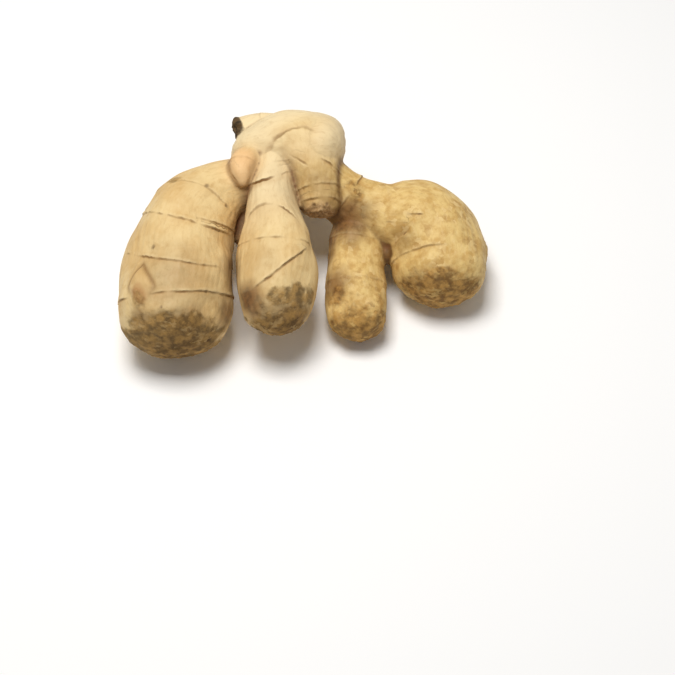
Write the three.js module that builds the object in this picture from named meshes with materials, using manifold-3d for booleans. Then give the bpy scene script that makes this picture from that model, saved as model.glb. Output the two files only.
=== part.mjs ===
// A hand of fresh ginger root: one knobbly rhizome whose thick fingers branch from a common head.
// Lengths are in millimetres and +Z is up. The hand lies on a table at z = 0 with its fingers pointing along -Y,
// and the origin is the middle of its footprint.

import * as THREE from "three";
import { mergeVertices } from "three/addons/utils/BufferGeometryUtils.js";
import Module from "manifold-3d";

const wasm = await Module();
wasm.setup();

// The middle of the footprint, in the layout that the spines below are written in.
const footprintMiddle = { x: 2.4, y: 45.6 };

// Every lobe follows a spine from the pole buried in the mother piece to the pole at its free end.
// spine: points as [x, y, z, radius].
// caps: how far from each pole the lobe is still rounding over.
// rings: the scars of the scale leaves, each at a distance along the spine, leaning by lean towards the side at toward.
// eyes: low buds in the skin, each at a distance along the spine and an angle round it from the top.
// around, step: corners round the lobe, and the distance between its rows of them.
const lobes = {
  leftFinger: {
    spine: [
      [-8, 62, 34, 9],
      [-28, 58.5, 30.5, 11.5],
      [-39.5, 48, 29, 16.4],
      [-44.7, 35, 26, 19.3],
      [-46, 20, 22.3, 21.6],
      [-46.6, 7, 20.3, 21.2],
      [-46, -8.5, 19, 17.5],
    ],
    caps: [8, 13],
    rings: [
      { at: 29, lean: 7, toward: -0.5 },
      { at: 42, lean: 8.3, toward: 0 },
      { at: 59, lean: 9.5, toward: 0 },
      { at: 74.5, lean: 8.5, toward: 0 },
    ],
    eyes: [{ at: 73, angle: -0.95, long: 7, wide: 3.4, high: 1.8 }],
    around: 40,
    step: 4.2,
  },
  middleFinger: {
    spine: [
      [-8, 70, 38, 8.5],
      [-10.5, 58, 37, 7.8],
      [-10.3, 45, 35.5, 9.7],
      [-9, 33.3, 32.5, 13],
      [-8.5, 20.4, 29, 15.2],
      [-8.5, 9.9, 25.5, 14.3],
      [-7.8, -3.1, 22, 10],
    ],
    caps: [6, 10],
    rings: [
      { at: 14, lean: 3, toward: -1.5 },
      { at: 24, lean: 0.5, toward: 0 },
      { at: 37.5, lean: 3, toward: -0.3 },
      { at: 51, lean: 8, toward: -1.3 },
    ],
    eyes: [{ at: 60, angle: 1.6, long: 5, wide: 3, high: 1.2 }],
    around: 34,
    step: 4.2,
  },
  head: {
    spine: [
      [-27, 70, 34, 7],
      [-18, 72, 34.5, 11.5],
      [-6, 73.5, 35, 15.2],
      [7, 73.5, 35, 16],
      [17, 72, 34, 15.5],
    ],
    caps: [7, 12],
    rings: [],
    eyes: [],
    around: 34,
    step: 4.4,
  },
  stub: {
    spine: [
      [0, 81, 35, 13],
      [1.2, 72.5, 35.8, 16],
      [5.5, 62, 36, 10.8],
      [7.3, 52.5, 33.6, 8.7],
      [8, 44, 31, 6.8],
    ],
    caps: [7, 3.5],
    rings: [
      { at: 9, lean: 3.5, toward: -1.4 },
      { at: 28, lean: 1, toward: 0 },
    ],
    eyes: [],
    around: 30,
    step: 4.2,
  },
  nub: {
    spine: [
      [-18, 68, 37.5, 6],
      [-21.5, 60.5, 41, 6.2],
      [-21.5, 51.5, 40.5, 3],
    ],
    caps: [5, 8],
    rings: [],
    eyes: [],
    around: 16,
    step: 3,
  },
  stalkStump: {
    spine: [
      [-4, 84, 38, 5],
      [-16, 85.5, 38, 4.6],
      [-26, 82.5, 37.5, 4.4],
    ],
    caps: [4, 1.2],
    rings: [],
    eyes: [],
    around: 16,
    step: 4,
  },
  rightBranch: {
    spine: [
      [6, 66, 32, 10],
      [18, 57.5, 26, 10.6],
      [31, 53, 21.8, 13],
      [46.6, 49.6, 19.6, 18.2],
      [52.6, 38.8, 17.3, 18.2],
      [53.8, 28.8, 15.9, 17.2],
      [54, 17.8, 15.2, 15],
    ],
    caps: [6, 11],
    rings: [
      { at: 15, lean: 1, toward: 0 },
      { at: 46, lean: 2, toward: 0 },
      { at: 67, lean: 2.5, toward: 0 },
    ],
    eyes: [{ at: 62, angle: 1.6, long: 5, wide: 3.5, high: 1.6 }],
    around: 38,
    step: 4.2,
  },
  rightFinger: {
    spine: [
      [23, 55, 20.5, 8],
      [22.5, 45, 17.5, 11],
      [21.5, 33, 14.5, 11.6],
      [21.4, 20, 12.2, 11.8],
      [23, 3, 11, 10.2],
    ],
    caps: [6, 9],
    rings: [
      { at: 16, lean: 1, toward: 0 },
      { at: 33, lean: 1.5, toward: 0 },
    ],
    eyes: [],
    around: 28,
    step: 4.2,
  },
  heel: {
    spine: [
      [-2, 72, 28, 13],
      [-1, 84, 15.2, 13.5],
      [0, 96.5, 9.6, 12.5],
    ],
    caps: [8, 3],
    rings: [{ at: 18, lean: 1, toward: 0 }],
    eyes: [],
    around: 28,
    step: 4.4,
  },
};

// A ring stands out as a lip that rises over lipReach and drops behind its edge.
const lipHeight = 0.8;
const lipDrop = 0.4;
const lipReach = 1.5;

// A ring's lean is felt over leanReach.
const leanReach = 12;

// Slow bulges that keep a lobe from being a turned shape.
// waves: how many round it; twist: their turn along it in radians a millimetre; share: their height in radii.
const bulges = [
  { waves: 2, twist: 0.09, share: 0.03 },
  { waves: 3, twist: -0.14, share: 0.025 },
  { waves: 5, twist: 0.22, share: 0.015 },
];
const bulgeStagger = 1.7;

// A cap's outline is a quarter of a rounded square: 2 would be round, and more is blunter.
const bluntness = 2.5;

// Rows of corners stand closer together over a cap, as shares of it, and beside a ring, as distances from it.
const capRows = [0, 0.04, 0.15, 0.34, 0.62];
const ringRows = [-3.4, -1.4, -0.3, 0.5, 1.9];
const crowded = 0.45;

const spineTension = 0.5;
const weldDistance = 1e-4;
const tableSide = 400;
const tableDepth = 40;
const up = new THREE.Vector3(0, 0, 1);

// The distances along the spine of a lobe's rows of corners.
function rowsOf(length, { caps, rings, step }) {
  const rows = [];
  for (const share of capRows) rows.push(caps[0] * share, length - caps[1] * share);
  for (const ring of rings) {
    for (const past of ringRows) rows.push(ring.at + past);
  }
  const evenRows = Math.round(length / step);
  for (let i = 1; i < evenRows; i++) {
    const s = (i * length) / evenRows;
    if (rows.every((row) => Math.abs(row - s) > step * crowded)) rows.push(s);
  }
  return rows.sort((a, b) => a - b);
}

// How far the skin stands out at a distance past a ring.
function lipRelief(past) {
  return past < 0 ? lipHeight * Math.exp(past / lipReach) : -lipDrop * lipHeight * Math.exp(-past / lipReach);
}

// How far a row leans along the lobe at an angle: as the rings near it do, and not at all at the poles.
function leanShift(rings, angle, s, length) {
  const upright = [0, length].map((at) => ({ at, lean: 0, toward: 0 }));
  let lean = 0;
  let total = 0;
  for (const ring of [...upright, ...rings]) {
    const weight = Math.exp(-(((s - ring.at) / leanReach) ** 2));
    lean += weight * ring.lean * Math.cos(angle - ring.toward);
    total += weight;
  }
  return lean / total;
}

// How far an eye lifts the skin, at an angle and a distance along a lobe of that radius.
function eyeRelief(eye, angle, s, radius) {
  const aside = Math.atan2(Math.sin(angle - eye.angle), Math.cos(angle - eye.angle)) * radius;
  return eye.high * Math.exp(-(((s - eye.at) / eye.long) ** 2) - (aside / eye.wide) ** 2);
}

// The bulges at an angle and a distance, as a share of the radius.
function bulge(angle, s, seed) {
  return bulges.reduce((sum, wave, i) =>
    sum + wave.share * Math.cos(wave.waves * angle + wave.twist * s + (i + 1) * seed), 0);
}

// How far a cap has closed at a distance from its pole: 0 at the pole, and 1 past the cap.
function closing(distance, cap) {
  const left = 1 - Math.min(distance / cap, 1);
  return Math.sqrt(1 - left ** bluntness);
}

// A ball stretched along its spine, with its rings and eyes, as a solid.
function lobeSolid(lobe, seed) {
  const { spine, caps, rings, eyes, around } = lobe;
  const centreLine = new THREE.CatmullRomCurve3(
    spine.map(([x, y, z]) => new THREE.Vector3(x - footprintMiddle.x, y - footprintMiddle.y, z)),
    false, "catmullrom", spineTension);
  const thickness = new THREE.SplineCurve(spine.map((point, i) => new THREE.Vector2(i, point[3])));
  const length = centreLine.getLength();
  const rows = rowsOf(length, lobe);
  const ball = new THREE.SphereGeometry(1, around, rows.length - 1);
  const corners = ball.attributes.position;
  for (let i = 0; i < corners.count; i++) {
    const row = Math.floor(i / (around + 1));
    const column = (i % (around + 1)) % around;
    const angle = (column * 2 * Math.PI) / around;
    const s = rows[row];
    const closed = Math.min(closing(s, caps[0]), closing(length - s, caps[1]));
    const share = THREE.MathUtils.clamp((s + closed * leanShift(rings, angle, s, length)) / length, 0, 1);
    let relief = 0;
    for (const ring of rings) relief += lipRelief(s - ring.at);
    const radius = thickness.getPoint(centreLine.getUtoTmapping(share)).y;
    for (const eye of eyes) relief += eyeRelief(eye, angle, s, radius);
    const reach = closed * (radius * (1 + bulge(angle, s, seed)) + relief);

    const centre = centreLine.getPointAt(share);
    const along = centreLine.getTangentAt(share);
    const top = up.clone().addScaledVector(along, -up.dot(along)).normalize();
    const side = top.clone().cross(along);
    centre.addScaledVector(top, reach * Math.cos(angle)).addScaledVector(side, reach * Math.sin(angle));
    corners.setXYZ(i, centre.x, centre.y, centre.z);
  }
  return solidOf(ball);
}

// A closed geometry as a solid that can be joined and cut.
function solidOf(geometry) {
  geometry.deleteAttribute("normal");
  geometry.deleteAttribute("uv");
  const welded = mergeVertices(geometry, weldDistance);
  return new wasm.Manifold(
    new wasm.Mesh({
      numProp: 3,
      vertProperties: welded.attributes.position.array,
      triVerts: new Uint32Array(welded.index.array),
    }),
  );
}

// A solid as a geometry.
function geometryOf(solid) {
  const mesh = solid.getMesh();
  const geometry = new THREE.BufferGeometry();
  geometry.setAttribute("position", new THREE.BufferAttribute(mesh.vertProperties, mesh.numProp));
  geometry.setIndex(new THREE.BufferAttribute(mesh.triVerts, 1));
  geometry.computeVertexNormals();
  return geometry;
}

// The lobes grow together into one body, and the table leaves a small flat on each that rests on it.
const grown = Object.values(lobes)
  .map((lobe, i) => lobeSolid(lobe, i * bulgeStagger))
  .reduce((whole, lobe) => whole.add(lobe));
const table = new THREE.BoxGeometry(tableSide, tableSide, tableDepth).translate(0, 0, -tableDepth / 2);
const resting = grown.subtract(solidOf(table));

const skin = new THREE.MeshStandardMaterial({ color: 0xd8b883, roughness: 0.75, metalness: 0 });
const rhizome = new THREE.Mesh(geometryOf(resting), skin);
rhizome.name = "ginger_rhizome";

const ginger = new THREE.Group();
ginger.add(rhizome);

export default ginger;
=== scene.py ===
import math

import bmesh
import bpy
import numpy as np
from mathutils import Euler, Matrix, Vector, noise
from mathutils.bvhtree import BVHTree


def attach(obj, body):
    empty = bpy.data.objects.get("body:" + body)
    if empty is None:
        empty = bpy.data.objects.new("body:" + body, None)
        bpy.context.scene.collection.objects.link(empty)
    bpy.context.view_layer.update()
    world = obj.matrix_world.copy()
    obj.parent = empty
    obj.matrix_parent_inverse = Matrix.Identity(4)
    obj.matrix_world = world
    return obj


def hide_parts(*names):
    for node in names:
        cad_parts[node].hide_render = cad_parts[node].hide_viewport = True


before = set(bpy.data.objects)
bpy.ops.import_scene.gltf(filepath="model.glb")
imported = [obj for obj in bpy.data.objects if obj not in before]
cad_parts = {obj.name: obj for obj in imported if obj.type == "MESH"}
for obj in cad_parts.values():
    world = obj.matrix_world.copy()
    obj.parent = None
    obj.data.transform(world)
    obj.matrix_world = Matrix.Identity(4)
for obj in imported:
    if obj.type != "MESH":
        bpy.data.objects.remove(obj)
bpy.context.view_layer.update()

# The studio is a sheet of white paper in a bright white room, under one soft square lamp that hangs above the
# root and a little to its left. The camera looks down on it from the front.
look_down = math.radians(55)
lens = 85
sensor = 36
photo_side = 675
metres_a_pixel = 0.00038
looked_at = Vector((0.01185, -0.0386, 0.0049))
camera_distance = photo_side * metres_a_pixel * lens / sensor
camera_turn = Euler((math.pi / 2 - look_down, 0, 0))
camera_data = bpy.data.cameras.new("camera")
camera_data.lens = lens
camera_data.sensor_width = sensor
camera = bpy.data.objects.new("camera", camera_data)
camera.location = looked_at + camera_distance * Vector((0, -math.cos(look_down), math.sin(look_down)))
camera.rotation_euler = camera_turn
bpy.context.scene.collection.objects.link(camera)
bpy.context.scene.camera = camera
bpy.context.scene.view_settings.view_transform = "Standard"

lamp_side = 0.35
lamp_watts = 6.5
lamp_colour = (1, 0.985, 0.96)
lamp_place = Vector((-0.1, 0.02, 0.85))
lamp_aimed_at = Vector((0, 0, 0.02))
lamp_data = bpy.data.lights.new("overhead_lamp", "AREA")
lamp_data.shape = "SQUARE"
lamp_data.size = lamp_side
lamp_data.energy = lamp_watts
lamp_data.color = lamp_colour
lamp = bpy.data.objects.new("overhead_lamp", lamp_data)
lamp.location = lamp_place
lamp.rotation_euler = (lamp_place - lamp_aimed_at).to_track_quat("Z", "Y").to_euler()
bpy.context.scene.collection.objects.link(lamp)

room_brightness = 0.24
room = bpy.data.worlds.new("white_room")
room.use_nodes = True
room.node_tree.nodes["Background"].inputs["Color"].default_value = (1, 1, 1, 1)
room.node_tree.nodes["Background"].inputs["Strength"].default_value = room_brightness
bpy.context.scene.world = room

paper_half_side = 3
paper_below = 0.0001
paper_mesh = bpy.data.meshes.new("paper")
sheet = bmesh.new()
bmesh.ops.create_grid(sheet, x_segments=1, y_segments=1, size=paper_half_side)
bmesh.ops.translate(sheet, verts=sheet.verts, vec=(0, 0, -paper_below))
sheet.to_mesh(paper_mesh)
sheet.free()
paper = bpy.data.objects.new("paper", paper_mesh)
bpy.context.scene.collection.objects.link(paper)
paper_finish = bpy.data.materials.new("white_paper")
paper_finish.use_nodes = True
paper_shader = paper_finish.node_tree.nodes["Principled BSDF"]
paper_shader.inputs["Base Color"].default_value = (0.98, 0.98, 0.98, 1)
paper_shader.inputs["Roughness"].default_value = 0.9
paper_shader.inputs["Specular IOR Level"].default_value = 0.1
paper.data.materials.append(paper_finish)

# The hand of ginger is juicy flesh under a thin skin, grown as one piece: seven lobes and the broken heel
# run into a common head. Each is a ball stretched along a spine, and so are two webs of skin that close the
# notches between lobes. Lengths are millimetres until the finished skin is brought to metres.
# spine: points as (x, y, z, radius), from the buried pole to the free end.
# caps: how far from each pole the lobe is still rounding over.
# lean: places along the spine where the lobe's rows lean, as (distance, lean, side that they lean to).
mm = 0.001
lobes = {
    "left_finger": {
        "spine": [(-10.4, 16.4, 34, 9), (-30.4, 12.9, 30.5, 11.5), (-41.9, 2.4, 29, 16.4),
                  (-47.1, -10.6, 26, 19.3), (-48.4, -25.6, 22.3, 21.6), (-49, -38.6, 20.3, 21.2),
                  (-48.4, -54.1, 19, 17.5)],
        "caps": (8, 13),
        "lean": [(29, 7, -0.5), (42, 8.3, 0), (59, 9.5, 0), (74.5, 8.5, 0)],
    },
    "middle_finger": {
        "spine": [(-10.4, 24.4, 38, 8.5), (-12.9, 12.4, 37, 7.8), (-12.7, -0.6, 35.5, 9.7),
                  (-11.4, -12.3, 32.5, 13), (-10.9, -25.2, 29, 15.2), (-10.9, -35.7, 25.5, 14.3),
                  (-10.2, -48.7, 22, 10)],
        "caps": (6, 10),
        "lean": [(14, 3, -1.5), (24, 0.5, 0), (37.5, 3, -0.3), (51, 8, -1.3)],
    },
    "head": {
        "spine": [(-29.4, 24.4, 34, 7), (-20.4, 26.4, 34.5, 11.5), (-8.4, 27.9, 35, 15.2),
                  (4.6, 27.9, 35, 16), (14.6, 26.4, 34, 15.5)],
        "caps": (7, 12),
        "lean": [],
    },
    "stub": {
        "spine": [(-2.4, 35.4, 35, 13), (-1.2, 26.9, 35.8, 16), (3.1, 16.4, 36, 10.8),
                  (4.9, 6.9, 33.6, 8.7), (5.6, -1.6, 31, 6.8)],
        "caps": (7, 6),
        "lean": [(9, 3.5, -1.4), (28, 1, 0)],
    },
    "nub": {
        "spine": [(-20.4, 22.4, 37.5, 6), (-23.9, 14.9, 41, 6.2), (-23.9, 5.9, 40.5, 3)],
        "caps": (5, 8),
        "lean": [],
    },
    "stalk_stump": {
        "spine": [(-6.4, 38.4, 38, 5), (-18.4, 39.9, 38, 4.6), (-28.4, 36.9, 37.5, 4.4)],
        "caps": (4, 1.2),
        "lean": [],
    },
    "right_branch": {
        "spine": [(3.6, 20.4, 32, 10), (15.6, 11.9, 26, 10.6), (28.6, 7.4, 21.8, 13),
                  (44.2, 4, 19.6, 18.2), (50.2, -6.8, 17.3, 18.2), (51.4, -16.8, 15.9, 17.2),
                  (51.6, -27.8, 15.2, 15)],
        "caps": (6, 11),
        "lean": [(15, 1, 0), (46, 2, 0), (67, 2.5, 0)],
    },
    "right_finger": {
        "spine": [(20.6, 9.4, 20.5, 8), (19.8, -0.6, 17.5, 10.8), (18.7, -12.6, 14.5, 11.2),
                  (18.8, -25.6, 12.2, 11.6), (20.6, -42.6, 11, 10.2)],
        "caps": (6, 9),
        "lean": [(16, 1, 0), (33, 1.5, 0)],
    },
    "right_web": {
        "spine": [(30.4, 6, 19.5, 6.5), (31, 0, 18.5, 6.2), (31.3, -11, 14.8, 4.6)],
        "caps": (4, 4),
        "lean": [],
    },
    "left_web": {
        "spine": [(-22.5, 11, 27, 4.5), (-23.6, 3, 23.5, 4.5), (-24.6, -7, 21, 3.6)],
        "caps": (3, 3),
        "lean": [],
    },
    "heel": {
        "spine": [(-4.4, 26.4, 28, 13), (-3.4, 38.4, 15.2, 13.5), (-2.4, 50.9, 9.6, 12.5)],
        "caps": (8, 3),
        "lean": [(18, 1, 0)],
    },
}
lean_reach = 12
bluntness = 2.5
# Slow bulges, as (how many round the lobe, their turn in radians a millimetre, their height in radii).
bulges = [(2, 0.09, 0.03), (3, -0.14, 0.025), (5, 0.22, 0.015)]
bulge_stagger = 1.7
spine_samples = 1200
spine_step = 0.3


def smooth_curve(points, before, after, at):
    """The curve through the points, at steps counted in points, given the points before and after them."""
    padded = np.vstack([before, points, after])
    start = np.clip(np.floor(at).astype(int), 0, len(points) - 2)
    w = (at - start)[:, None]
    a, b, c, d = (padded[start + k] for k in range(4))
    return (2 * b + (c - a) * w + (2 * a - 5 * b + 4 * c - d) * w**2 + (3 * b - a - 3 * c + d) * w**3) / 2


def lay_spine(lobe):
    """Adds to a lobe its spine at even steps: places, directions, radii, and the ways to its top and side."""
    points = np.array(lobe["spine"], float)
    places, radii = points[:, :3], points[:, 3:]
    at = np.linspace(0, len(points) - 1, spine_samples)
    line = smooth_curve(places, 2 * places[0] - places[1], 2 * places[-1] - places[-2], at)
    thick = smooth_curve(radii, radii[0], radii[-1], at)[:, 0]
    gone = np.append(0, np.cumsum(np.linalg.norm(np.diff(line, axis=0), axis=1)))
    lobe["length"] = gone[-1]
    lobe["even"] = np.linspace(0, gone[-1], int(gone[-1] / spine_step))
    lobe["line"] = np.column_stack([np.interp(lobe["even"], gone, line[:, k]) for k in range(3)])
    lobe["radius"] = np.interp(lobe["even"], gone, thick)
    ahead = np.gradient(lobe["line"], axis=0)
    lobe["ahead"] = ahead / np.linalg.norm(ahead, axis=1)[:, None]
    top = np.array([0, 0, 1]) - lobe["ahead"] * lobe["ahead"][:, 2:]
    lobe["top"] = top / np.linalg.norm(top, axis=1)[:, None]
    lobe["side"] = np.cross(lobe["top"], lobe["ahead"])


def along_spine(lobe, what, distance):
    """One of the spine's vectors at distances along it."""
    return np.column_stack([np.interp(distance, lobe["even"], lobe[what][:, k]) for k in range(3)])


def leaning(lobe, angle, distance):
    """How far a row leans along the lobe at an angle: as the rows near it do, and not at all at the poles."""
    lean = 0
    total = 0
    for at, most, toward in [(0, 0, 0), (lobe["length"], 0, 0), *lobe["lean"]]:
        weight = np.exp(-(((distance - at) / lean_reach) ** 2))
        lean = lean + weight * most * np.cos(angle - toward)
        total = total + weight
    return lean / total


def closing(distance, cap):
    """How far a cap has closed at a distance from its pole: 0 at the pole, and 1 past the cap."""
    return np.sqrt(1 - (1 - np.clip(distance / cap, 0, 1)) ** bluntness)


def closed_at(lobe, distance):
    """How far a lobe has closed at a distance along it, by the nearer of its two caps."""
    return np.minimum(closing(distance, lobe["caps"][0]), closing(lobe["length"] - distance, lobe["caps"][1]))


def bulging(lobe, angle, distance):
    """The lobe's bulges, as a share of its radius."""
    return sum(
        share * np.cos(waves * angle + twist * distance + (k + 1) * lobe["seed"])
        for k, (waves, twist, share) in enumerate(bulges)
    )


lobe_columns = 84
lobe_rows = 120
row_crowding = 0.9
round_ball = bmesh.new()
bmesh.ops.create_uvsphere(round_ball, u_segments=lobe_columns, v_segments=lobe_rows, radius=1)
ball_mesh = bpy.data.meshes.new("ball")
round_ball.to_mesh(ball_mesh)
round_ball.free()
hand = bmesh.new()
for number, lobe in enumerate(lobes.values()):
    lobe["seed"] = number * bulge_stagger
    lay_spine(lobe)
    hand.from_mesh(ball_mesh)
    hand.verts.ensure_lookup_table()
    ball = hand.verts[-len(ball_mesh.vertices):]
    unit = np.array([v.co for v in ball])
    row = np.arccos(np.clip(unit[:, 2], -1, 1)) / math.pi
    angle = np.arctan2(unit[:, 1], unit[:, 0])
    distance = lobe["length"] * (row - row_crowding * np.sin(2 * math.pi * row) / (2 * math.pi))
    closed = closed_at(lobe, distance)
    share = np.clip(distance + closed * leaning(lobe, angle, distance), 0, lobe["length"])
    reach = closed * np.interp(share, lobe["even"], lobe["radius"]) * (1 + bulging(lobe, angle, distance))
    corners = (
        along_spine(lobe, "line", share)
        + along_spine(lobe, "top", share) * (reach * np.cos(angle))[:, None]
        + along_spine(lobe, "side", share) * (reach * np.sin(angle))[:, None]
    )
    for v, corner in zip(ball, corners):
        v.co = corner
body_mesh = bpy.data.meshes.new("grown_together")
hand.to_mesh(body_mesh)
hand.free()
bpy.data.meshes.remove(ball_mesh)
body = bpy.data.objects.new("grown_together", body_mesh)
bpy.context.scene.collection.objects.link(body)

# The lobes grow together under one skin, so the creases between them are soft. A fine weld joins the balls
# into one closed surface, and a little smoothing rounds the creases.
skin_step = 0.69
weld = body.modifiers.new("weld", "REMESH")
weld.mode = "VOXEL"
weld.voxel_size = skin_step
soften = body.modifiers.new("soften", "SMOOTH")
soften.factor = 0.5
soften.iterations = 9
bpy.context.view_layer.update()
depsgraph = bpy.context.evaluated_depsgraph_get()
skin_mesh = bpy.data.meshes.new_from_object(body.evaluated_get(depsgraph))
tree = BVHTree.FromObject(body, depsgraph)
bpy.data.objects.remove(body)
bpy.data.meshes.remove(body_mesh)
skin_mesh.name = "ginger_root"

places = np.empty(len(skin_mesh.vertices) * 3)
skin_mesh.vertices.foreach_get("co", places)
places = places.reshape(-1, 3)
normals = np.empty(len(skin_mesh.vertices) * 3)
skin_mesh.vertices.foreach_get("normal", normals)
normals = normals.reshape(-1, 3)
edges = np.empty(len(skin_mesh.edges) * 2, int)
skin_mesh.edges.foreach_get("vertices", edges)
edges = edges.reshape(-1, 2)
neighbours = np.bincount(edges.ravel(), minlength=len(places))


def evened(values, times):
    """A value at each corner of the skin, evened out over its neighbours that many times."""
    for _ in range(times):
        total = np.bincount(edges[:, 0], values[edges[:, 1]], len(places))
        total += np.bincount(edges[:, 1], values[edges[:, 0]], len(places))
        values = (values + total / neighbours) / 2
    return values


seed_step = (31.7, 11.3, -19.1)


def lumps(at, size, seed):
    """A smooth random value at each place, from about -1 to 1, that changes over that size."""
    shift = Vector([step * seed for step in seed_step])
    return np.array([noise.noise(Vector(place) / size + shift) for place in at.tolist()])


def layered(at, layers):
    """Random values added up, from layers of (height, size, seed)."""
    return sum(height * lumps(at, size, seed) for height, size, seed in layers)


def ease(value, low, high):
    """Rises smoothly from 0 at low to 1 at high."""
    t = np.clip((value - low) / (high - low), 0, 1)
    return t * t * (3 - 2 * t)


places_at_once = 20000
lean_rounds = 4
past_end_weight = 3


def lobe_places(lobe, at):
    """Where places lie on a lobe: distance along it, angle round it, distance out, and gap to its skin."""
    nearest = np.empty(len(at), int)
    square = (lobe["line"] ** 2).sum(1)
    for start in range(0, len(at), places_at_once):
        part = at[start : start + places_at_once]
        nearest[start : start + places_at_once] = (square - 2 * part @ lobe["line"].T).argmin(1)
    offset = at - lobe["line"][nearest]
    ahead = lobe["ahead"][nearest]
    forward = (offset * ahead).sum(1)
    offset = offset - ahead * forward[:, None]
    share = lobe["even"][nearest] + forward
    angle = np.arctan2((offset * lobe["side"][nearest]).sum(1), (offset * lobe["top"][nearest]).sum(1))
    out = np.linalg.norm(offset, axis=1)
    distance = share
    for _ in range(lean_rounds):
        distance = share - closed_at(lobe, distance) * leaning(lobe, angle, distance)
    radius = np.interp(share, lobe["even"], lobe["radius"])
    past_ends = np.maximum(np.maximum(-share, share - lobe["length"]), 0)
    gap = out - closed_at(lobe, distance) * radius * (1 + bulging(lobe, angle, distance))
    return distance, angle, out, gap + past_end_weight * past_ends


ray_end_before_table = 25


def seen(pixel):
    """The point of the hand that shows at a pixel of the photograph, or else the nearest one to that ray."""
    across = (pixel[0] - photo_side / 2) * sensor / photo_side
    down = (pixel[1] - photo_side / 2) * sensor / photo_side
    ray = (camera_turn.to_matrix() @ Vector((across, -down, -lens))).normalized()
    start = camera.location / mm
    missed = start + ray * (camera_distance / mm - ray_end_before_table)
    return np.array(tree.ray_cast(start, ray)[0] or tree.find_nearest(missed)[0])


def away_from(pixel):
    """How far each corner of the skin is from the point that shows at a pixel."""
    return np.linalg.norm(places - seen(pixel), axis=1)


# belongs: each lobe's share of a corner, soft where lobes merge. own: the lobe that a corner lies nearest to.
merging_reach = 1.5
names = list(lobes)
on = {name: lobe_places(lobe, places) for name, lobe in lobes.items()}
gaps = np.column_stack([on[name][3] for name in names])
belongs = np.exp(-(gaps - gaps.min(1)[:, None]) / merging_reach)
belongs = dict(zip(names, (belongs / belongs.sum(1)[:, None]).T))
own = gaps.argmin(1)
own_distance = np.choose(own, [on[name][0] for name in names])
own_angle = np.choose(own, [on[name][1] for name in names])
own_out = np.choose(own, [on[name][2] for name in names])
grain = np.column_stack([own_distance, own_out * np.cos(own_angle), own_out * np.sin(own_angle)])

# Every scale leaf of the young shoot left a scar: a thin ragged lip that runs round the lobe, with a brown
# line under its edge.
# seen: three pixels on it, which give the plane that it lies in. before: how far short of that plane it lies.
# at: a distance along the lobe, for those that don't show. mark: a short scar between two pixels.
# lip: its height. brown: the strength of its line. within: it fades that far from its middle.
# clear: where it is worn away, as pixels and radii.
scars = [
    {"on": ["left_finger"], "seen": [(173, 181), (206, 187), (227, 206)], "lip": 0.25, "brown": 0.35},
    {"on": ["left_finger"], "seen": [(150, 212), (196, 222), (233, 238)], "lip": 0.42, "brown": 0.75},
    {"on": ["left_finger"], "seen": [(150, 212), (196, 222), (233, 238)], "before": 2.3, "lip": 0.28,
     "brown": 0.7, "clear": [((160, 210), 14)]},
    {"on": ["left_finger"], "seen": [(129, 254), (166, 259), (224, 268)], "lip": 0.35, "brown": 0.75,
     "clear": [((228, 268), 8)]},
    {"on": ["left_finger"], "seen": [(155, 293), (190, 291), (225, 294)], "lip": 0.4, "brown": 0.75,
     "clear": [((137, 292), 7)]},
    {"on": ["middle_finger"], "seen": [(259, 181), (271, 177), (285, 173)], "lip": 0.3, "brown": 1.1},
    {"on": ["middle_finger"], "seen": [(254, 209), (270, 202), (288, 210)], "lip": 0.3, "brown": 0.7,
     "within": 9},
    {"on": ["middle_finger"], "seen": [(245, 242), (264, 237), (292, 238)], "lip": 0.3, "brown": 0.5},
    {"on": ["middle_finger"], "seen": [(261, 283), (280, 268), (300, 253)], "lip": 0.42, "brown": 0.75,
     "within": 12},
    {"on": ["head", "stub"], "seen": [(272, 145), (284, 134), (305, 128)], "lip": 0.35, "brown": 0.55,
     "within": 11},
    {"on": ["stub"], "at": 28, "lip": 0.35, "brown": 0.4},
    {"on": ["stub"], "at": 33, "lip": 0.3, "brown": 0.4},
    {"on": ["right_branch"], "at": 15, "lip": 0.35, "brown": 0.6},
    {"on": ["right_branch"], "seen": [(408, 252), (430, 245), (457, 246)], "lip": 0.3, "brown": 0.5,
     "clear": [((470, 250), 12)]},
    {"on": ["right_finger"], "at": 13, "lip": 0.2, "brown": 0.25},
    {"on": ["right_finger"], "at": 31, "lip": 0.25, "brown": 0.2},
    {"on": ["heel"], "at": 13, "lip": 0.4, "brown": 0.8},
    {"on": ["heel"], "at": 21, "lip": 0.4, "brown": 0.8},
    {"on": ["stalk_stump"], "at": 12, "lip": 0.2, "brown": 0.5},
    {"on": ["nub"], "at": 9, "lip": 0.1, "brown": 0.25},
    {"on": ["nub"], "mark": [(230, 168), (236, 179)], "lip": 0.2, "brown": 1.3, "within": 4},
    {"on": ["head"], "mark": [(279, 161), (288, 160)], "lip": 0.15, "brown": 1, "within": 3},
    {"on": ["head", "stub"], "mark": [(293, 157), (303, 163)], "lip": 0.2, "brown": 0.6, "within": 4},
    {"on": ["head", "stub"], "mark": [(327, 162), (342, 175)], "lip": 0.4, "brown": 0.9, "within": 6},
    {"on": ["right_branch"], "mark": [(409, 214), (419, 213)], "lip": 0.15, "brown": 0.9, "within": 3},
    {"on": ["right_branch"], "mark": [(391, 222), (406, 223)], "lip": 0.12, "brown": 0.8, "within": 4},
    {"on": ["middle_finger"], "mark": [(244, 293), (255, 290)], "lip": 0.15, "brown": 0.5, "within": 4},
]
lip_reach = 1.5
lip_drop = 0.45
scar_reach = 4
ring_wavering = 0.5
seen_wavering = 0.35
worn_until = 0.6
worn_past = 1.2
faded_from = 0.8
faded_past = 1.4
least_ragged = 0.05
usual_ragged = 0.7
most_ragged = 1.3
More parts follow.
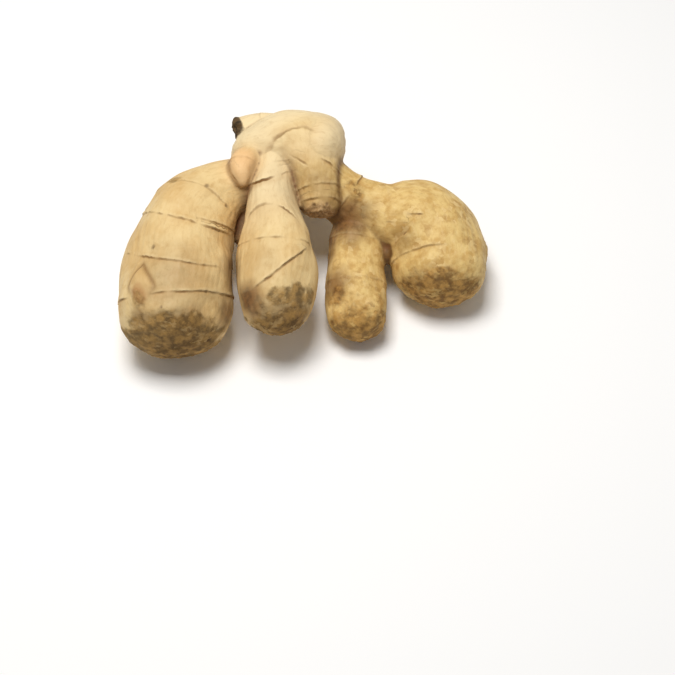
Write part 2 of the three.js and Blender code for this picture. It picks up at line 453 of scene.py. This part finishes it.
wavering = layered(places, [(0.9, 9, 1), (0.35, 2.4, 2)])
raggedness = usual_ragged + layered(places, [(1.5, 7, 3), (0.8, 2.6, 4)])
raggedness = np.clip(raggedness, least_ragged, most_ragged)
relief = np.zeros(len(places))
scar = np.zeros(len(places))
scar_nearness = np.zeros(len(places))
scar_side = np.ones(len(places))
for one in scars:
    reaches = sum(belongs[name] for name in one["on"])
    lobe = lobes[one["on"][0]]
    if "at" in one:
        past = on[one["on"][0]][0] - one["at"] + wavering * ring_wavering
    else:
        points = [seen(pixel) for pixel in one.get("seen") or one["mark"]]
        middle = np.mean(points, axis=0)
        if "seen" in one:
            facing = np.cross(points[1] - points[0], points[2] - points[0])
        else:
            outward = np.array(tree.find_nearest(Vector(middle))[1])
            facing = np.cross(outward, points[1] - points[0])
        facing /= np.linalg.norm(facing)
        nearest = ((lobe["line"] - middle) ** 2).sum(1).argmin()
        facing *= np.sign(facing @ lobe["ahead"][nearest])
        past = (places - middle) @ facing + one.get("before", 0) + wavering * seen_wavering
    for pixel, far in one.get("clear", []):
        reaches = reaches * ease(away_from(pixel) / far, worn_until, worn_past)
    if "within" in one:
        away = np.linalg.norm(places - middle, axis=1)
        reaches = reaches * ease(away / one["within"], faded_past, faded_from)
    lip = np.where(past < 0, np.exp(past / lip_reach), -lip_drop * np.exp(-past / lip_reach))
    relief += one["lip"] * reaches * raggedness * lip
    strength = one["brown"] * reaches * raggedness * ease(np.abs(past), scar_reach, 0.6 * scar_reach)
    nearness = strength * (1.2 - np.abs(past) / scar_reach)
    nearer = nearness > scar_nearness
    scar_nearness[nearer] = nearness[nearer]
    scar[nearer] = strength[nearer]
    scar_side[nearer] = np.clip(past[nearer] / scar_reach, -1, 1)

# The eyes are the buds of the next shoots: low pointed scales, orange-brown where they sit on the lobe.
# seen: the pixel at its middle. at and angle, for those that don't show: its distance along the lobe and the
# angle from the lobe's top.
# frayed: a small random value that makes the borders of scales, patches, stains and painted shade ragged.
eyes = [
    {"on": "left_finger", "seen": (139, 286), "long": 10.5, "wide": 6, "high": 1},
    {"on": "middle_finger", "at": 60, "angle": 2.2, "long": 6, "wide": 3.6, "high": 1},
    {"on": "right_branch", "at": 62, "angle": 1.7, "long": 6, "wide": 4, "high": 1.6},
    {"on": "left_finger", "at": 56, "angle": 2.5, "long": 6, "wide": 4, "high": 1.2},
    {"on": "right_finger", "at": 30, "angle": -2.2, "long": 5, "wide": 3, "high": 1},
    {"on": "right_branch", "at": 44, "angle": 3, "long": 6, "wide": 4, "high": 1.4},
]
eye_edge = 1.05
eye_edge_width = 0.16
eye_groove = 0.35
frayed = layered(places, [(0.32, 4, 5), (0.22, 1.8, 6)])
bud = np.zeros(len(places))
bud_edge = np.zeros(len(places))
bud_foot = np.zeros(len(places))
for eye in eyes:
    lobe = lobes[eye["on"]]
    here = belongs[eye["on"]]
    distance, angle, out = on[eye["on"]][:3]
    if "seen" in eye:
        at, turn = (float(value[0]) for value in lobe_places(lobe, seen(eye["seen"])[None])[:2])
    else:
        at, turn = eye["at"], eye["angle"]
    ahead = (distance - at) / eye["long"]
    aside = np.arctan2(np.sin(angle - turn), np.cos(angle - turn)) * out / eye["wide"]
    scale = np.abs(ahead) ** 1.2 + 1.1 * np.abs(aside) + 0.1 * wavering
    free = here * ease(ahead, 0.7, -0.3)
    rim = np.exp(-(((scale - eye_edge) / eye_edge_width) ** 2))
    raised = (0.3 * here + 0.7 * free) * ease(scale, eye_edge, 0.55)
    relief += eye["high"] * (raised - eye_groove * free * rim)
    bud = np.maximum(bud, here * ease(scale, 1.1, 0.7))
    bud_edge = np.maximum(bud_edge, free * rim)
    foot = np.hypot((ahead - 0.4) / 0.5, aside / 0.55) + 0.5 * frayed
    bud_foot = np.maximum(bud_foot, here * ease(foot, 1.2, 0.5))

# Rough corky skin covers the free ends and the places where the root rubbed against stones.
# corky_ends: how far it reaches from each free end. patches: as (pixel, radius, strength).
corky_ends = {"left_finger": 9, "middle_finger": 5, "right_branch": 6, "right_finger": 9, "heel": 4,
              "stub": 1.5, "stalk_stump": 3.5}
patches = [
    ((170, 321), 4.5, 1), ((182, 322), 4.5, 1), ((194, 321), 4.5, 1), ((210, 326), 4, 0.7),
    ((170, 343), 9, 0.7), ((200, 342), 9, 0.7), ((145, 338), 6, 0.5), ((276, 297), 3.5, 0.8),
    ((287, 296), 4, 0.9), ((298, 293), 4.5, 1), ((309, 295), 4, 0.8), ((262, 312), 5, 0.5),
    ((270, 322), 6, 0.7), ((294, 315), 8, 0.8), ((283, 329), 8, 0.9), ((440, 272), 2.5, 1),
    ((416, 276), 3.5, 0.5), ((456, 284), 4, 0.7), ((430, 291), 7, 0.9), ((410, 287), 5, 0.8),
    ((450, 295), 7, 0.9), ((351, 186), 3.5, 0.7), ((358, 195), 3.5, 0.6), ((349, 300), 4, 0.5),
    ((366, 283), 3, 0.4), ((337, 298), 5, 0.7), ((380, 300), 4, 0.5), ((352, 318), 8, 0.6),
    ((138, 300), 4, 0.6), ((174, 180), 3, 0.6),
]
cork = np.zeros(len(places))
for name, far in corky_ends.items():
    left = lobes[name]["length"] - on[name][0]
    cork = np.maximum(cork, belongs[name] * ease(left / far + frayed, 1.4, 0.3))
for pixel, radius, strength in patches:
    cork = np.maximum(cork, strength * ease(away_from(pixel) / radius + frayed, 1.35, 0.5))

# The stub and the heel end in the faces that they snapped along, dished and ringed by the fibres inside, and
# the stump of the old stalk ends in dark dead fibres.
dishes = {"stub": 0.7, "heel": 1.8}
ring_height = 0.22
ring_spacing = 2.3
stub_end = (319, 216)
stub_ring_height = 0.16
stub_ring_spacing = 2.7
stub_rings_end = 12
stub_rings_full = 7
stub_torn_end = 7.5
stub_torn_full = 4.5
face_from = 3.2
face_full = 1.4
dead_from = 4.2
dead_full = 2.6
torn_layers = [(0.5, 1.9, 7)]
dead_layers = [(1.5, 2.2, 8)]
snapped = np.zeros(len(places))
for name, dish in dishes.items():
    lobe = lobes[name]
    distance, _, out = on[name][:3]
    face = belongs[name] * ease(lobe["length"] - distance, face_from, face_full)
    middle_share = np.clip(out / lobe["radius"][-1], 0, 1)
    rings = ring_height * np.cos(out * 2 * math.pi / ring_spacing + wavering)
    relief += face * (rings - dish * (1 - middle_share**2) + layered(places, torn_layers))
    snapped = np.maximum(snapped, face)
from_end = away_from(stub_end)
rings = stub_ring_height * np.cos(from_end * 2 * math.pi / stub_ring_spacing + 2 * wavering)
relief += belongs["stub"] * ease(from_end, stub_rings_end, stub_rings_full) * rings
torn_end = belongs["stub"] * ease(from_end + 1.5 * frayed, stub_torn_end, stub_torn_full)
snapped = np.maximum(snapped, torn_end)
stump_left = lobes["stalk_stump"]["length"] - on["stalk_stump"][0]
dead = belongs["stalk_stump"] * ease(stump_left, dead_from, dead_full)
relief += dead * layered(places, dead_layers)

# The skin itself is drawn into low lumps and fine wrinkles along each lobe, and rough where it is corky.
# Each layer is given as (height, size, seed).
lump_layers = [(0.55, 17, 10), (0.32, 7, 11)]
wrinkle_layers = [(0.24, 1.7, 9)]
wrinkle_stretch = np.array([0.16, 1, 1])
cork_lump_layers = [(0.5, 3.4, 12)]
cork_furrow_layers = [(0.45, 1.7, 13)]
cork_sunk = 0.1
relief += layered(places, lump_layers)
relief += layered(grain * wrinkle_stretch, wrinkle_layers) * (1 - cork)
furrowed = np.abs(layered(places, cork_furrow_layers))
relief += cork * (layered(places, cork_lump_layers) + furrowed - cork_sunk)

# Fine roots grew from the underside. Each left a pit with a raised rim and a dark middle. Most are spread
# there at random, and a few are at the pixels where they show.
pit_count = 60
pit_rim = 0.2
pit_depth = 0.4
seen_pits = [(161, 307), (153, 247), (207, 186), (226, 206), (314, 205), (327, 204), (320, 211)]
chance = np.random.default_rng(7)
downward = np.clip(0.35 - normals[:, 2], 0, 1) * (places[:, 2] > 1)
drawn = chance.choice(len(places), pit_count, replace=False, p=downward / downward.sum())
pit_middles = np.vstack([places[drawn], [seen(pixel) for pixel in seen_pits]])
pit_sizes = chance.uniform(0.55, 1.15, len(pit_middles))
pit_away = np.full(len(places), 99.0)
for middle, size in zip(pit_middles, pit_sizes):
    pit_away = np.minimum(pit_away, np.linalg.norm(places - middle, axis=1) / size + 0.35 * frayed)
relief += pit_rim * np.exp(-(((pit_away - 1.1) / 0.45) ** 2)) - pit_depth * np.exp(-((pit_away / 0.6) ** 2))
pit = ease(pit_away, 1.2, 0.4)

# Soil brown is painted on the skin, mostly as painted shade: in the clefts between neighbouring lobes, over
# the two webs, on flanks in shadow, under the stub and toward the finger ends. A few spots are real tan and
# soil stains.
# The spots: as (pixel, radius, strength), painted shade and stains. The pairs: neighbours and the strength of
# the painted shade between them.
shade_and_stain_spots = [
    ((348, 220), 10, 1), ((342, 226), 6, 1), ((352, 234), 5, 0.7), ((331, 240), 7, 0.9),
    ((328, 258), 6, 0.8), ((334, 284), 7, 0.85), ((305, 190), 12, 0.25), ((322, 184), 7, 0.4),
    ((328, 200), 6, 0.4), ((401, 240), 6, 0.4), ((430, 293), 10, 0.4), ((172, 280), 16, 0.38),
    ((230, 266), 4, 0.8), ((230, 272), 7, 0.6), ((227, 312), 6, 0.8), ((140, 318), 5, 0.5),
    ((186, 322), 9, 0.6), ((180, 350), 14, 0.75), ((262, 262), 9, 0.16), ((249, 300), 7, 1),
    ((254, 308), 6, 0.9), ((285, 328), 12, 0.9),
]
cleft_shade_pairs = [
    ("left_finger", "middle_finger", 0.8), ("middle_finger", "right_finger", 0.8),
    ("middle_finger", "stub", 0.8), ("stub", "right_branch", 0.9), ("stub", "right_finger", 1),
    ("right_finger", "right_branch", 0.5), ("nub", "left_finger", 0.6), ("nub", "middle_finger", 0.7),
]
cleft_shade_reach = 5
cleft_shade_gap = 0.8
web_shade = 0.95
sideways = ease(normals[:, 2], 1, 0.4)
# Painted shade: the two webs are dark brown all over, as the shade in the notches they close.
shade_and_stain = web_shade * ease(belongs["left_web"] + belongs["right_web"], 0.1, 0.5)
# Painted shade on the sideways-facing skin of each lobe where it lies close to its neighbour.
for one, other, strength in cleft_shade_pairs:
    near = belongs[one] * ease(on[other][3] + frayed, cleft_shade_reach, cleft_shade_gap)
    near += belongs[other] * ease(on[one][3] + frayed, cleft_shade_reach, cleft_shade_gap)
    shade_and_stain = np.maximum(shade_and_stain, strength * near * sideways)
# Painted shade, and a few real stains, in soft spots round the listed pixels.
for pixel, radius, strength in shade_and_stain_spots:
    shade_and_stain = np.maximum(shade_and_stain, strength * ease(away_from(pixel) / radius + 0.6 * frayed, 1.5, 0.2))

# The skin is displaced outwards, flattened where the hand lies on the table, and brought to metres.
# hollow: how far a corner lies in from the skin evened out around it, which finds the creases that are
# darkened with painted shade.
hollow_rounds = 14
hollow_shows = 0.05
hollow_full = 0.42
hollow = sum((evened(places[:, k], hollow_rounds) - places[:, k]) * normals[:, k] for k in range(3))
crease_shade = evened(ease(hollow, hollow_shows, hollow_full), 2) * (1 - 0.7 * snapped)
places += normals * relief[:, None]
places[:, 2] = np.maximum(places[:, 2], 0)
skin_mesh.vertices.foreach_set("co", (places * mm).ravel())
skin_mesh.update()
root = bpy.data.objects.new("ginger_root", skin_mesh)
bpy.context.scene.collection.objects.link(root)
for face in skin_mesh.polygons:
    face.use_smooth = True

# The right branch and its finger have an older, more ochre skin, and the heel and the stub some of it. The
# head is pale, and the nub, a young shoot, pink.
ochre_shares = {"right_branch": 1, "right_finger": 1, "right_web": 1, "heel": 0.35, "stub": 0.55}
ochre = sum(share * belongs[name] for name, share in ochre_shares.items())
young_from = 2
young_full = 9
pale_until = 44
pale_full = 16
young = belongs["nub"] * ease(on["nub"][0], young_from, young_full)
pale = belongs["head"] + belongs["stalk_stump"]
pale += belongs["middle_finger"] * ease(on["middle_finger"][0], pale_until, pale_full)
skin_values = {
    "scar": scar, "scar_side": scar_side, "bud": bud, "bud_edge": bud_edge, "bud_foot": bud_foot,
    "cork": cork, "snapped": snapped, "dead": dead, "pit": pit, "crease_shade": crease_shade, "ochre": evened(ochre, 12),
    "young": evened(young, 6), "pale": evened(pale, 16), "shade_and_stain": evened(shade_and_stain, 3),
}
for name, values in skin_values.items():
    skin_mesh.attributes.new(name, "FLOAT", "POINT").data.foreach_set("value", values.astype(np.float32))
grain_values = (grain * mm).astype(np.float32).ravel()
skin_mesh.attributes.new("grain", "FLOAT_VECTOR", "POINT").data.foreach_set("vector", grain_values)

finish = bpy.data.materials.new("ginger_skin")
finish.use_nodes = True
nodes = finish.node_tree.nodes
links = finish.node_tree.links


def put(kind, inputs, **settings):
    """A shader node with its settings, and its inputs set to values or fed by other nodes."""
    made = nodes.new("ShaderNode" + kind)
    for name, value in settings.items():
        setattr(made, name, value)
    for name, value in inputs.items():
        if isinstance(value, bpy.types.NodeSocket):
            links.new(value, made.inputs[name])
        else:
            made.inputs[name].default_value = value
    return made


def colour(red, green, blue):
    """A colour from its screen values, 0 to 255."""
    return tuple(((c / 255 + 0.055) / 1.055) ** 2.4 for c in (red, green, blue)) + (1,)


def calc(operation, a, b=0.0):
    """One step of arithmetic."""
    return put("Math", {0: a, 1: b}, operation=operation).outputs[0]


def ramp(value, low, high, start=0.0, end=1.0):
    """Rises smoothly from start to end as the value goes from low to high."""
    span = {"Value": value, "From Min": low, "From Max": high, "To Min": start, "To Max": end}
    return put("MapRange", span, interpolation_type="SMOOTHSTEP").outputs["Result"]


def mixed(amount, under, over):
    """One colour over another."""
    return put("Mix", {0: amount, 6: under, 7: over}, data_type="RGBA").outputs[2]


def mottle(at, size, detail=2.0, rough=0.5):
    """Noise of that size in metres, from 0 to 1."""
    return put("TexNoise", {"Vector": at, "Scale": 1 / size, "Detail": detail, "Roughness": rough}).outputs[0]


def stored(name):
    """A value stored on the skin."""
    return put("Attribute", {}, attribute_name=name).outputs["Fac"]


where = put("TexCoord", {}).outputs["Object"]
drift = put("VectorMath", {0: put("TexNoise", {"Vector": where, "Scale": 130.0}).outputs["Color"],
                           "Scale": 0.004}, operation="SCALE").outputs[0]
along = put("VectorMath", {0: put("Attribute", {}, attribute_name="grain").outputs["Vector"], 1: drift},
            operation="ADD").outputs[0]
lengthways = put("Mapping", {"Vector": along, "Scale": (0.3, 1, 1)}).outputs["Vector"]

# The thin papery skin: cream where it is young, tan where it has dried, with fine fibres along the lobe.
cloud = mottle(where, 0.014, 3)
blotch = mottle(where, 0.0045, 4, 0.6)
fibre = mottle(lengthways, 0.0011, 3, 0.6)
tooth = mottle(where, 0.0006, 2)
cream = mixed(ramp(cloud, 0.36, 0.64), colour(231, 202, 146), colour(219, 184, 125))
cream = mixed(ramp(blotch, 0.5, 0.75, 0, 0.45), cream, colour(198, 158, 98))
cream = mixed(calc("MULTIPLY", stored("pale"), 0.8), cream, colour(239, 218, 175))
aged = mixed(ramp(blotch, 0.36, 0.66), colour(228, 196, 128), colour(206, 167, 98))
aged = mixed(ramp(mottle(where, 0.0022, 3, 0.6), 0.52, 0.72, 0, 0.4), aged, colour(184, 141, 78))
wobble = put("VectorMath", {0: put("TexNoise", {"Vector": where, "Scale": 500.0}).outputs["Color"],
                            "Scale": 0.0022}, operation="SCALE").outputs[0]
wobbled = put("VectorMath", {0: where, 1: wobble}, operation="ADD").outputs[0]
scale_cell = put("TexVoronoi", {"Vector": wobbled, "Scale": 430.0})
scale_shade = put("SeparateColor", {"Color": scale_cell.outputs["Color"]}).outputs[0]
scaly = ramp(mottle(where, 0.009, 2), 0.45, 0.6)
aged = mixed(calc("MULTIPLY", ramp(scale_shade, 0.6, 0.95, 0, 0.5), scaly), aged, colour(240, 212, 152))
aged = mixed(calc("MULTIPLY", ramp(scale_shade, 0.3, 0.0, 0, 0.4), scaly), aged, colour(166, 122, 64))
base = mixed(ramp(stored("ochre"), 0.15, 0.85), cream, aged)
base = mixed(ramp(fibre, 0.5, 0.75, 0, 0.22), base, colour(176, 134, 82))
base = mixed(ramp(fibre, 0.5, 0.25, 0, 0.16), base, colour(247, 226, 182))
base = mixed(calc("MULTIPLY", stored("young"), 0.6), base, colour(246, 196, 142))
# Soil brown laid over the marked spots, clefts and webs: mostly painted shade, with a few real stains.
shade_and_soil_brown = mixed(ramp(blotch, 0.4, 0.6), colour(124, 82, 42), colour(88, 54, 25))
base = mixed(calc("MULTIPLY", stored("shade_and_stain"), 0.92), base, shade_and_soil_brown)
# Painted shade: the creases are darkened brown.
base = mixed(calc("MULTIPLY", ramp(stored("crease_shade"), 0.1, 0.9), 0.8), base, colour(112, 70, 38))

# The scars: a pale dry lip, and a brown line under its edge.
ragged = calc("MULTIPLY", calc("SUBTRACT", mottle(where, 0.0016, 2), 0.5), 0.1)
side = calc("ADD", stored("scar_side"), ragged)
lip_tone = calc("MULTIPLY", ramp(side, -0.42, -0.12), ramp(side, 0, -0.06))
line_tone = calc("MULTIPLY", ramp(side, -0.1, 0.02), ramp(side, 0.2, 0.05))
shade_tone = calc("MULTIPLY", ramp(side, -0.05, 0.05), ramp(side, 0.8, 0.1))
scarred = stored("scar")
base = mixed(calc("MULTIPLY", calc("MULTIPLY", shade_tone, scarred), 0.3), base, colour(186, 144, 90))
base = mixed(calc("MULTIPLY", calc("MULTIPLY", lip_tone, scarred), 0.3), base, colour(244, 220, 170))
base = mixed(calc("MULTIPLY", calc("MULTIPLY", line_tone, scarred), 0.85), base, colour(128, 90, 46))

# The eyes: a darker outline, an orange-brown foot.
base = mixed(calc("MULTIPLY", stored("bud"), 0.35), base, colour(214, 172, 110))
base = mixed(calc("MULTIPLY", stored("bud_edge"), 0.75), base, colour(134, 96, 52))
foot = calc("MULTIPLY", stored("bud_foot"), ramp(blotch, 0.3, 0.6, 0.9, 0.45))
base = mixed(foot, base, colour(160, 104, 54))

# The cork: brown and olive, with dry golden flakes that lift off it.
flattened = put("Mapping", {"Vector": where, "Scale": (1, 1, 1.6)}).outputs["Vector"]
flake = put("TexVoronoi", {"Vector": flattened, "Scale": 560.0, "Randomness": 1.0})
flake_shade = put("SeparateColor", {"Color": flake.outputs["Color"]}).outputs[0]
flaked = calc("MULTIPLY", ramp(flake_shade, 0.6, 0.75), ramp(mottle(where, 0.005, 2), 0.45, 0.62))
fray = calc("MULTIPLY", calc("SUBTRACT", mottle(where, 0.0022, 4, 0.6), 0.5), 0.9)
corky = ramp(calc("ADD", stored("cork"), fray), 0.15, 0.95)
dark_cork = mixed(stored("ochre"), colour(95, 70, 33), colour(112, 76, 34))
light_cork = mixed(stored("ochre"), colour(168, 129, 70), colour(190, 143, 75))
cork_tone = mixed(ramp(mottle(where, 0.0035, 4, 0.6), 0.36, 0.66), dark_cork, light_cork)
golden = mixed(stored("ochre"), colour(196, 162, 108), colour(228, 190, 118))
cork_tone = mixed(calc("MULTIPLY", flaked, 0.6), cork_tone, golden)
base = mixed(calc("MULTIPLY", corky, 0.85), base, cork_tone)
torn = mixed(ramp(mottle(where, 0.0009, 4, 0.65), 0.38, 0.62), colour(160, 122, 84), colour(214, 178, 134))
base = mixed(calc("MULTIPLY", stored("snapped"), 0.7), base, torn)
base = mixed(calc("MULTIPLY", stored("pit"), 0.65), base, colour(84, 56, 34))
withered = mixed(ramp(mottle(lengthways, 0.0012, 3), 0.35, 0.65), colour(48, 38, 26), colour(104, 82, 54))
base = mixed(calc("MULTIPLY", ramp(calc("ADD", stored("dead"), fray), 0.2, 0.8), 0.95), base, withered)

# The finest relief: fibres, a little tooth, loose cork and flakes, and a groove under each lip.
height = calc("ADD", calc("MULTIPLY", fibre, 0.5), calc("MULTIPLY", tooth, 0.25))
height = calc("ADD", height, calc("MULTIPLY", calc("MULTIPLY", mottle(where, 0.0009, 3, 0.7), corky), 1.4))
height = calc("ADD", height, calc("MULTIPLY", calc("MULTIPLY", flaked, corky), 0.5))
height = calc("SUBTRACT", height, calc("MULTIPLY", calc("MULTIPLY", line_tone, scarred), 0.9))
uneven = put("Bump", {"Strength": 0.85, "Distance": 0.00035, "Height": height}).outputs["Normal"]
gloss = ramp(blotch, 0.3, 0.7, 0.52, 0.68)
gloss = put("Mix", {0: corky, 2: gloss, 3: 0.88}, data_type="FLOAT").outputs[0]
shader = nodes["Principled BSDF"]
links.new(base, shader.inputs["Base Color"])
links.new(gloss, shader.inputs["Roughness"])
links.new(uneven, shader.inputs["Normal"])
shader.inputs["Specular IOR Level"].default_value = 0.25
skin_mesh.materials.append(finish)

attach(root, "root")
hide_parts("ginger_rhizome")
